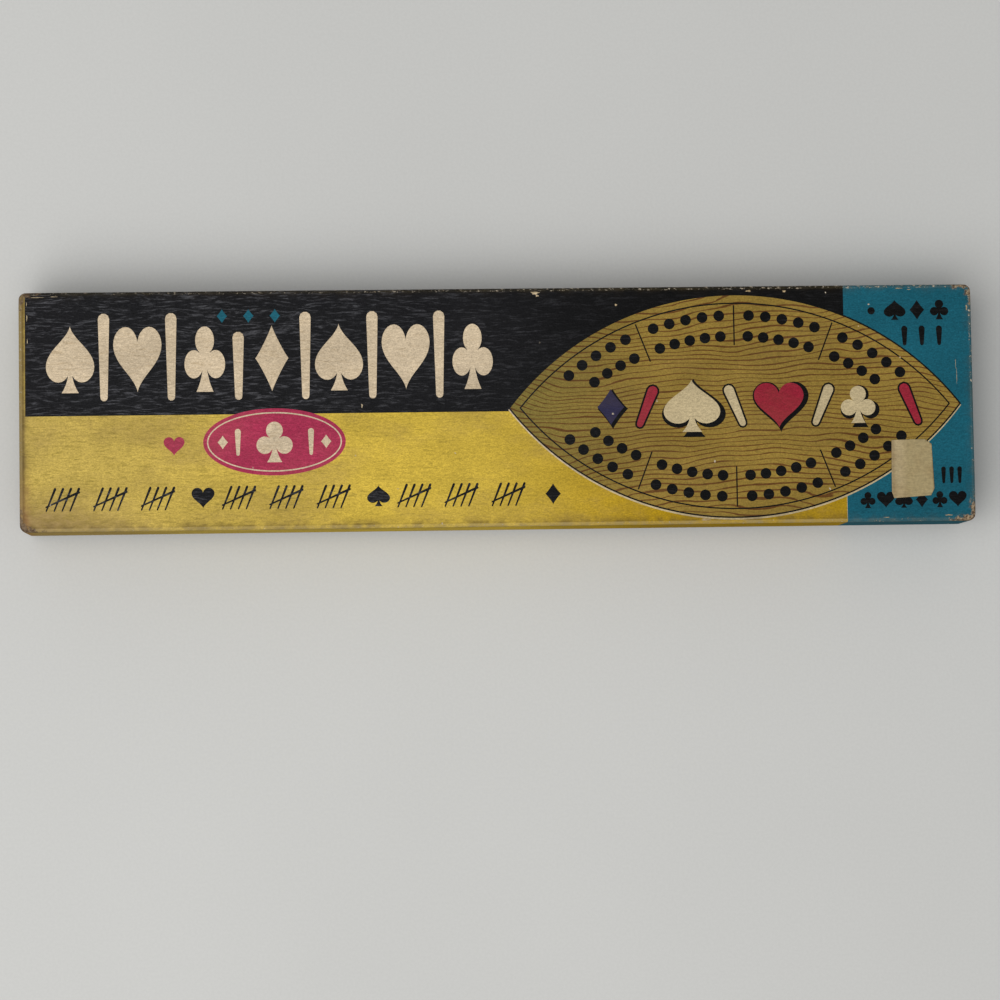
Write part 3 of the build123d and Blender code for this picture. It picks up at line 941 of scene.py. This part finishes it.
# Blank label cut at two corners. It lifts as an exponential from its left edge, as a bell at one
# corner and by slow sines.
def buildLabel(values):
    left, front = labelLow[:2] - (values["shift"], 0)
    corners = np.array(values["outline"]) + (left, front)
    share = np.arange(values["edgeSteps"])[:, None] / values["edgeSteps"]
    sides = zip(corners, np.roll(corners, -1, axis=0))
    edge = np.vstack([first * (1 - share) + last * share for first, last in sides])
    gridX = np.arange(left + values["edgeGap"], corners[:, 0].max(), values["step"])
    gridY = np.arange(front + values["edgeGap"], labelHigh[1], values["step"])
    flat, triangles, _ = printedSheet(edge, [], [], gridX, gridY)
    x, y = flat.T
    left = x.min()
    uneven = 1 + values["uneven"] * (np.sin((y - front) / values["unevenLength"]) - 1)
    lift = values["leftLift"] * np.exp(-(x - left) / values["leftReach"]) * uneven
    lift += values["cornerLift"] * np.exp(-(np.hypot(x - left, y - front) / values["cornerReach"]) ** 2)
    lift += values["wave"] * (1 + np.sin(x / values["waveX"] + y / values["waveY"]))
    z = labelLow[2] + values["clear"] + lift
    piece = buildMesh("price_label_paper", beside(x, y, z), [triangles], [labelPaper(values)])
    addPaper(piece, values["paper"], 1.0)
    return piece


dress(buildLabel(label), "lid", "label_paper", "price_label")

leafLow, leafHigh = boxMm("instruction_leaflet")
leaf = dict(sheet=0.3, step=3.0, firstGap=2.0, lastGap=1.0, foldGap=1.5, foldRows=9, lift=0.7, wave=0.18,
            waveLength=17.0, clear=0.02, margin=5.0, frameLine=0.6, frameGap=1.6, suitPitch=22.0, suitY=5.0,
            suitHeight=13.0, holePitch=4.2, holeGap=3.2, holeY=-7.5, holeRow=5.0, holeRadius=1.0,
            aged=screen(186, 162, 120))
leafTones = dict(paper=screen(214, 200, 170), ink=screen(52, 50, 56), red=screen(158, 48, 66))


# Leaflet paper and its inks: aged towards the edges, fibres, faint specks.
def leafletPaper(name, colour, aged):
    graph = Graph("leaflet_" + name, 0.25)
    fibre = graph.noise(1.3, detail=5, roughness=0.6)
    middle, half = (leafLow + leafHigh) / 2, (leafHigh - leafLow) / 2
    toEdge = graph.least(graph.inset(graph.x, half[0], middle[0]), graph.inset(graph.y, half[1], middle[1]))
    near = graph.plus(toEdge, graph.spread(graph.noise(0.12, detail=4), -4.0, 4.0))
    share = graph.times(graph.fade(near, 0.0, 9.0, 0.7), 0.8 if name == "paper" else 0.2)
    tone = graph.shade(graph.mix(share, colour, aged), graph.spread(fibre, 0.92, 1.06))
    tone = graph.mix(graph.times(graph.specks(3.4, 0.22, 0.2), 0.5), tone, aged)
    return graph.finish(tone, graph.spread(fibre, 0.68, 0.84), fibre, 0.05, 0.4)


# Frame, a row of suits and two rows of scored holes for each half of the outside of the sheet.
def leafletFigures(values, length, width):
    found = []
    line, gap = values["frameLine"], values["frameGap"]
    holePitch, holeGap = values["holePitch"], values["holeGap"]
    for start in (0.0, width):
        for name, inset in zip(("ink", "paper", "ink", "paper"), (0, line, gap, gap + line / 2)):
            inset += values["margin"]
            found.append((name, rectangle(inset, start + inset, length - inset, start + width - inset)))
        middle = start + width / 2
        for index, kind in enumerate(("heart", "club", "diamond", "spade")):
            colour = "red" if kind in ("heart", "diamond") else "ink"
            x = length / 2 + (index - 1.5) * values["suitPitch"]
            found += suit(colour, kind, x, middle + values["suitY"], values["suitHeight"])
        for row in range(2):
            y = middle + values["holeY"] - row * values["holeRow"]
            for index in range(20):
                x = length / 2 + (index - 9.5) * holePitch + (index // 5 - 1.5) * holeGap
                found.append(("ink", oval(x, y, values["holeRadius"], steps=14)))
    return found


# Sheet folded once along its front edge: flat length runs from the back of the lower leaf, round a
# half circle, to the back of the upper leaf, which rises as the square of the distance from the fold.
def buildLeaflet(values):
    length = leafHigh[0] - leafLow[0]
    radius = (leafHigh[2] - leafLow[2]) / 2
    leafWidth = leafHigh[1] - leafLow[1] - radius
    bend = math.pi * radius
    total = 2 * leafWidth + bend
    folds = leafWidth + bend * np.linspace(0, 1, values["foldRows"])
    first, last, pastFold, step = [values[key] for key in ("firstGap", "lastGap", "foldGap", "step")]
    gridY = np.concatenate([np.arange(first, leafWidth - last, step), folds,
                            np.arange(leafWidth + bend + pastFold, total - last, step)])
    gridX = np.arange(first, length - last, step)
    edge = np.vstack([(0, 0), beside(gridX, 0), (length, 0), beside(length, gridY),
                      (length, total), beside(gridX[::-1], total), (0, total), beside(0, gridY[::-1])])
    sheetFigures = leafletFigures(values, length, total / 2)
    flat, triangles, inkOf = printedSheet(edge, sheetFigures, list(leafTones), gridX, gridY)
    along, place = flat.T
    turn = np.clip((place - leafWidth) / radius, 0, math.pi)
    upper = np.clip(place - leafWidth - bend, 0, None)
    lower = np.clip(leafWidth - place, 0, None)
    y = leafLow[1] + radius + lower + upper - radius * np.sin(turn)
    share = upper / leafWidth
    wave = values["wave"] * (1 + np.sin(along / values["waveLength"]))
    rise = values["lift"] * share ** 2 + wave * share
    z = leafLow[2] + values["clear"] + radius * (1 - np.cos(turn)) + rise
    papers = [leafletPaper(name, colour, values["aged"]) for name, colour in leafTones.items()]
    points = beside(leafLow[0] + along, y, z)
    piece = buildMesh("leaflet_sheet", points, [triangles], papers, np.maximum(inkOf, 0))
    addPaper(piece, values["sheet"])
    return piece


dress(buildLeaflet(leaf), "leaflet", "leaflet_paper", "instruction_leaflet")

peg = dict(tip=1.35, tipLength=1.6, neck=1.55, head=1.8, headLength=3.2, neckEnd=0.6, swell=0.9, cap=1.2,
           roundSteps=7, taperSteps=12,
           turnedBefore=-42.0,                    # pegs to the left of this place lie the other way round
           dirt=screen(110, 92, 66))
pegTones = dict(cream=screen(214, 196, 160), red=screen(158, 34, 48))


# Moulded peg: smooth plastic with faint flow lines, fine scratches and patches of handled dirt.
def pegPlastic(name, colour, dirtColour):
    graph = Graph("peg_" + name)
    flow = graph.noise((0.12, 1.2, 1.2))
    dirt = graph.times(graph.ramp(graph.noise(0.4, detail=5), 0.5, 0.7), 0.3)
    tone = graph.mix(dirt, graph.shade(colour, graph.spread(flow, 0.9, 1.08)), dirtColour)
    scratch = graph.noise((0.6, 5.0, 5.0), detail=4)
    return graph.finish(tone, graph.spread(scratch, 0.24, 0.42), scratch, 0.03, 0.4)


pegPlastics = {name: pegPlastic(name, colour, peg["dirt"]) for name, colour in pegTones.items()}


# Turned profile: elliptical tip, straight taper, a smooth step out to the head and a domed end.
def buildPeg(node, plastic, values):
    low, high = boxMm(node)
    length, middle = high[0] - low[0], (low + high) / 2
    tipLength, tip, neck, head = [values[key] for key in ("tipLength", "tip", "neck", "head")]
    start = length - values["headLength"]
    neckEnd = start - values["neckEnd"]
    rounding = np.linspace(0, 1, values["roundSteps"])
    dome, share = np.radians(90 * rounding), rounding[1:]
    taper = np.linspace(tipLength, neckEnd, values["taperSteps"])[1:]
    profile = np.vstack([
        beside(tipLength * (1 - np.cos(dome)), tip * np.sin(dome)),
        beside(taper, np.interp(taper, (tipLength, start), (tip, neck))),
        beside(neckEnd + values["swell"] * share, neck + (head - neck) * smoothStep(0, 1, share)),
        beside(length - values["cap"] + values["cap"] * np.sin(dome), head * np.cos(dome))])
    profile[-1, 1] = 0
    profile[:, 0] -= length / 2
    if middle[0] < values["turnedBefore"]:
        profile = profile[::-1] * (-1, 1)
    return lathe(node + "_turned", profile, "x", middle, [plastic])


for number in (1, 2):
    for colour, plastic in pegPlastics.items():
        node = f"peg_{colour}_{number}"
        dress(buildPeg(node, plastic, peg), node, "peg_" + colour, node)

pin = dict(shank=0.75, headHeight=0.8, domeHeight=0.55, domeSteps=8, bevel=0.2,
           brass=screen(186, 150, 84), dull=screen(120, 92, 48))


# Turned brass: warm metal, dulled in patches.
def pinBrass(values):
    graph = Graph("pin_brass", Metallic=1.0)
    dull = graph.ramp(graph.noise(0.8, detail=5), 0.45, 0.65)
    turning = graph.noise(6.0, detail=2)
    return graph.finish(graph.mix(dull, values["brass"], values["dull"]), graph.ramp(dull, 0, 1, 0.3, 0.55),
                        turning, 0.02, 0.4)


# Pin standing on its domed head: a quarter ellipse, the head's rim and a straight shank.
def buildPin(values):
    low, high = boxMm("cover_stop_pin")
    headRadius, length = (high[0] - low[0]) / 2, high[2] - low[2]
    shank, headHeight, bevel = values["shank"], values["headHeight"], values["bevel"]
    dome = np.radians(np.linspace(0, 90, values["domeSteps"]))
    head = beside(values["domeHeight"] * (1 - np.cos(dome)), headRadius * np.sin(dome))
    rest = [(headHeight, headRadius), (headHeight, shank), (length - bevel, shank), (length, shank - bevel),
            (length, 0)]
    middle = ((low[0] + high[0]) / 2, (low[1] + high[1]) / 2, low[2])
    return lathe("stop_pin_turned", np.vstack([head, rest]), "z", middle, [pinBrass(values)])


dress(buildPin(pin), "board", "pin_brass", "cover_stop_pin")

board = dict(pale=screen(196, 152, 96), mid=screen(172, 124, 70), dark=screen(128, 84, 42), varnish=0.35)
chip = dict(dark=screen(150, 132, 106), light=screen(172, 154, 126), fleck=screen(96, 78, 56),
            straw=screen(206, 196, 174))
stay = dict(dark=screen(146, 112, 70), light=screen(176, 142, 96))
steel = dict(warm=screen(176, 176, 172), blued=screen(150, 152, 156), rust=screen(112, 70, 42))


# Varnished board: long growth bands along X with fine pores.
def boardWood(values):
    graph = Graph("board_wood", Coat_Weight=values["varnish"], Coat_Roughness=0.22)
    place = graph.wander((0.012, 0.05, 0.05), (0, 14, 14))
    band = graph.noise((0.006, 0.32, 0.32), detail=5, roughness=0.55, place=place)
    fine = graph.noise((0.03, 2.4, 2.4), detail=4, roughness=0.6, place=place)
    pores = graph.ramp(graph.noise((0.16, 5.0, 5.0), (3, 3, 3)), 0.60, 0.68)
    colour = graph.mix(graph.ramp(band, 0.32, 0.52), values["pale"], values["mid"])
    colour = graph.mix(graph.ramp(band, 0.52, 0.72, 0.0, 0.8), colour, values["dark"])
    colour = graph.shade(colour, graph.spread(fine, 0.84, 1.12))
    colour = graph.mix(graph.times(pores, 0.5), colour, values["dark"])
    height = graph.minus(graph.times(fine, 0.5), pores)
    return graph.finish(colour, graph.spread(fine, 0.38, 0.52), height, 0.05, 0.4)


# Grey-brown chipboard: short fibres both ways, dark and straw-coloured flecks, a soft cloudy tone.
def chipboard(values):
    graph = Graph("chipboard", 0.2)
    cloud = graph.spread(graph.noise(0.06, detail=4))
    colour = graph.mix(cloud, values["dark"], values["light"])
    fibre = graph.noise((1.1, 3.0, 3.0), detail=6, roughness=0.7, place=graph.wander(0.4, (2, 2, 2)))
    colour = graph.shade(colour, graph.spread(fibre, 0.80, 1.15))
    colour = graph.mix(graph.times(graph.specks(1.6, 0.22, 0.3), 0.7), colour, values["fleck"])
    colour = graph.mix(graph.times(graph.specks(2.3, 0.2, 0.2, (7, 7, 7)), 0.7), colour, values["straw"])
    return graph.finish(colour, graph.spread(fibre, 0.82, 0.95), fibre, 0.12, 0.6)


# Brown gummed strip: fine level fibres and a slight gloss from the gum.
def stayPaper(values):
    graph = Graph("stay_paper", 0.4)
    fibre = graph.noise((1.0, 1.0, 5.0), detail=5)
    colour = graph.mix(graph.spread(fibre), values["dark"], values["light"])
    return graph.finish(colour, graph.spread(fibre, 0.5, 0.7), fibre, 0.05, 0.5)


# Drawn steel: fine lines along the slide, a blued tint and a few rust spots.
def coverSteel(values):
    graph = Graph("cover_steel", Metallic=1.0)
    line = graph.noise((0.08, 9.0, 9.0), detail=4, roughness=0.6)
    tint = graph.ramp(graph.noise(0.05), 0.35, 0.65)
    colour = graph.shade(graph.mix(tint, values["warm"], values["blued"]), graph.spread(line, 0.86, 1.08))
    rust = graph.times(graph.ramp(graph.noise(0.3, (6, 1, 3), 6, 0.7), 0.60, 0.70), 0.7)
    colour = graph.mix(rust, colour, values["rust"])
    rough = graph.plus(graph.spread(line, 0.28, 0.44), graph.times(rust, 0.4))
    return graph.finish(colour, rough, line, 0.02, 0.5)


printing = dict(line=0.45, above=0.012, thick=0.03, groups=6, endGap=30.0, track=18.0, half=(16.8, 7.4),
                corner=1.5, barEnd=3.0, colour=screen(58, 34, 20))


# Fine dark lines on the board: a frame with a line along it round each group of holes.
def buildBoardPrint(values):
    low, high = boxMm("cribbage_board")
    pitch = (high[0] - low[0] - 2 * values["endGap"]) / values["groups"]
    path, normals = roundedPath(*values["half"], values["corner"], step=4.0, cornerSteps=5)
    frameRing = np.vstack([path - normals * values["line"], path])
    length, width = values["half"][0] - values["barEnd"], values["line"] / 2
    stamp = np.vstack([frameRing, rectangle(-length, -width, length, width)])
    middles = [(low[0] + values["endGap"] + (group + 0.5) * pitch, side * values["track"])
               for group in range(values["groups"]) for side in (-1, 1)]
    flat = np.vstack([stamp + middle for middle in middles])
    quads = np.vstack([ringFaces(2, len(path))[:, ::-1], len(frameRing) + np.arange(4)[None]])
    quads = np.vstack([quads + index * len(stamp) for index in range(len(middles))])
    graph = Graph("board_print", Roughness=0.45)
    patchy = graph.spread(graph.noise(1.5, detail=4), 0.7, 1.3)
    material = graph.finish(graph.shade(values["colour"], patchy))
    points = beside(*flat.T, high[2] + values["above"])
    piece = buildMesh("board_lines", points, [quads], [material])
    addPaper(piece, values["thick"])
    return piece


dress(buildBoardPrint(printing), "board", "board_wood")

finishes = dict(cribbage_board=boardWood(board), base_board=chipboard(chip), peg_cover=coverSteel(steel))
finishes["lid_board"] = finishes["base_board"]
stayFinish = stayPaper(stay)
for name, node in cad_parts.items():
    finish = stayFinish if "_stay_" in name else finishes.get(name)
    if finish:
        for slot in node.material_slots:
            slot.material = finish
print("finishes of the wood, chipboard, strips and steel")
